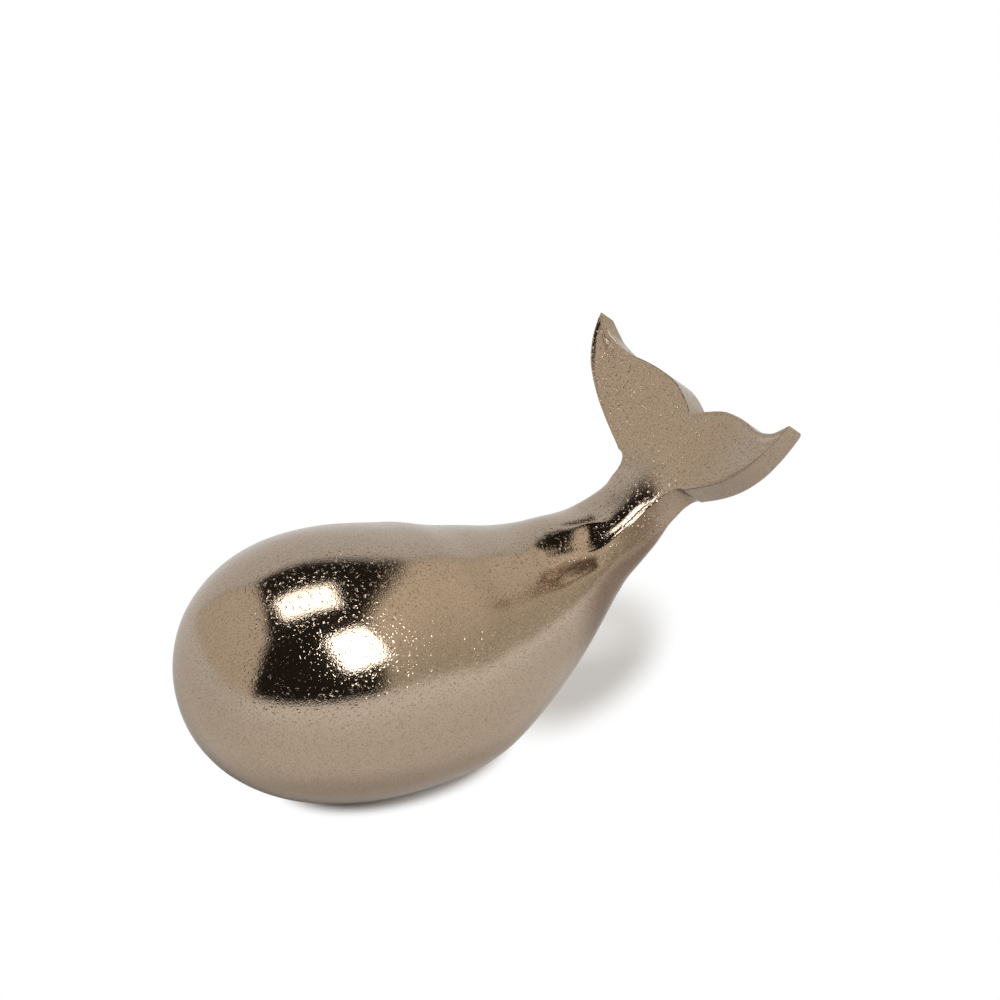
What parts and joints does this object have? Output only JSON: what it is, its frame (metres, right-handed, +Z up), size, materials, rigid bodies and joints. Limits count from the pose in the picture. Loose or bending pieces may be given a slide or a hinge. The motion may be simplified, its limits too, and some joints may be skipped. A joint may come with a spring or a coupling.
{
  "type": "whale figurine",
  "caption": "Cast whale ornament with a smooth round body, a rising tail stem and a hollowed fluke, standing on a flat felted foot.",
  "frame": {"origin": "on the table, under the middle of the flat foot, in the whale's plane of symmetry", "axes": "+Z up, the head points to -X and the tail rises towards +X, +Y to the whale's right"},
  "size_m": [0.2071, 0.101, 0.109],
  "materials": {
    "plated_casting": "sand-cast, hand ground and bronze plated, satin with a fine grain",
    "fixing_steel": "zinc plated",
    "plate_steel": "zinc plated sheet",
    "felt": "pressed wool felt, glued on"
  },
  "bodies": {
    "root": {"body_shell": "plated_casting", "tail_fluke": "plated_casting", "tail_screw": "fixing_steel", "tail_washer": "fixing_steel", "tail_dowel": "fixing_steel", "base_plate": "plate_steel", "base_screw_front": "fixing_steel", "base_screw_rear": "fixing_steel", "felt_pad": "felt"}
  },
  "joints": []
}
